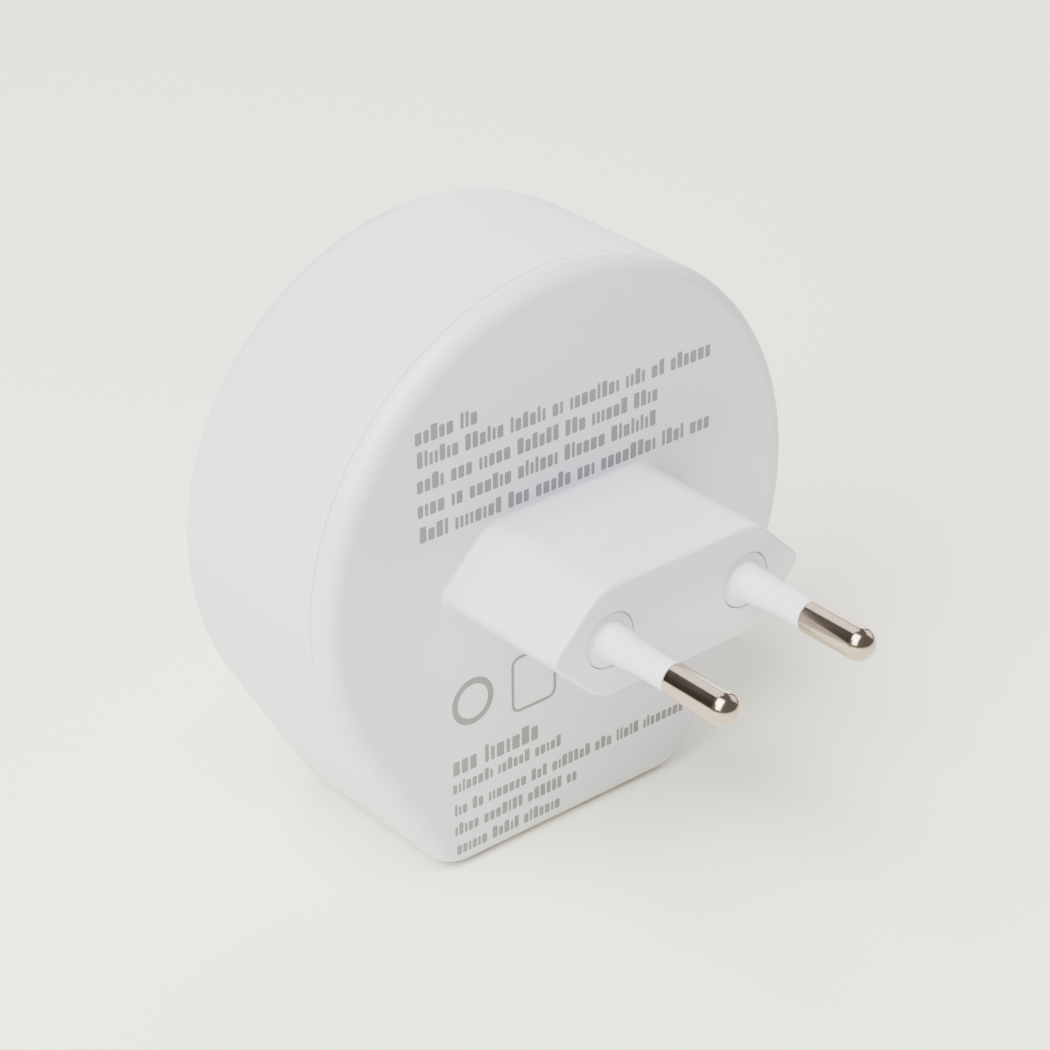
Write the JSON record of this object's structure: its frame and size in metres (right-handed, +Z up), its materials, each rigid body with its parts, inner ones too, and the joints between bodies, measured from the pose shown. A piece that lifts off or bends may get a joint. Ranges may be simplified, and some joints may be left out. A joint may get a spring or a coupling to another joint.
{
  "type": "usb wall charger",
  "caption": "Round plug-in USB charger: plug pins on a hexagonal block behind, opal night-light lens and light sensor in front, mode slide switch at the side, USB sockets in its flat bottom.",
  "frame": {"origin": "middle of the plug block's flat end face, between the pins", "axes": "+Y out of the plug pins towards the wall socket, so the lit front faces -Y; +Z up; +X to the left of someone facing the charger's back"},
  "size_m": [0.0663, 0.0647, 0.0684],
  "materials": {
    "housing_white": "cool white ABS, fine satin moulding texture",
    "sleeve_white": "smooth satin white nylon",
    "nickel": "bright nickel plate on brass, warm reflections",
    "diffuser_opal": "opal white polycarbonate, satin",
    "lens_smoke": "smoked clear plastic, polished",
    "tray_white": "matt white, reflective",
    "steel": "tin-plated pressed steel",
    "board_green": "green solder mask over glass-epoxy",
    "board_white": "white solder mask",
    "resin_black": "black moulding resin",
    "connector_white": "natural white nylon",
    "ferrite": "matt dark sintered ferrite",
    "tape_yellow": "yellow polyester tape over copper turns",
    "capacitor_sleeve": "dark blue heat-shrunk sleeve",
    "disc_blue": "blue epoxy dip",
    "resistor_green": "grey-green flameproof lacquer",
    "copper_wire": "enamelled copper wire",
    "led_yellow": "yellow phosphor in a white case",
    "wire_brown": "brown PVC insulation",
    "wire_blue": "blue PVC insulation",
    "wire_red": "red PVC insulation",
    "wire_black": "black PVC insulation"
  },
  "bodies": {
    "charger": {"board_screw_left": "steel", "board_screw_right": "steel", "bridge_rectifier": "resin_black", "controller_ic": "resin_black", "filter_inductor": "copper_wire", "fuse_resistor": "resistor_green", "input_capacitor_1": "capacitor_sleeve", "input_capacitor_2": "capacitor_sleeve", "lamp_board": "board_white", "lamp_connector": "connector_white", "lamp_diffuser": "diffuser_opal", "lamp_lead_black": "wire_black", "lamp_lead_red": "wire_red", "lamp_led_1": "led_yellow", "lamp_led_2": "led_yellow", "lamp_led_3": "led_yellow", "lamp_led_4": "led_yellow", "lamp_tray": "tray_white", "light_sensor": "resin_black", "main_housing": "housing_white", "mains_lead_left": "wire_brown", "mains_lead_right": "wire_blue", "mode_switch_body": "resin_black", "optocoupler": "resin_black", "output_capacitor_1": "capacitor_sleeve", "output_capacitor_2": "capacitor_sleeve", "output_rectifier": "resin_black", "pin_sleeve_left": "sleeve_white", "pin_sleeve_right": "sleeve_white", "plug_pin_left": "nickel", "plug_pin_right": "nickel", "port_control_ic": "resin_black", "power_board": "board_green", "rear_cover": "housing_white", "sensor_lens": "lens_smoke", "transformer_bobbin": "resin_black", "transformer_core": "ferrite", "transformer_winding": "tape_yellow", "usb_a_shell": "steel", "usb_a_tongue": "connector_white", "usb_c_shell": "steel", "usb_c_tongue": "resin_black", "varistor": "disc_blue", "y_capacitor": "disc_blue"},
    "switch_knob": {"mode_switch_knob": "housing_white"}
  },
  "joints": [
    {"name": "mode_switch_slide", "type": "slide", "parent": "charger", "child": "switch_knob", "axis": [0, 0, 1], "range_m": [-0.002, 0.002]}
  ]
}
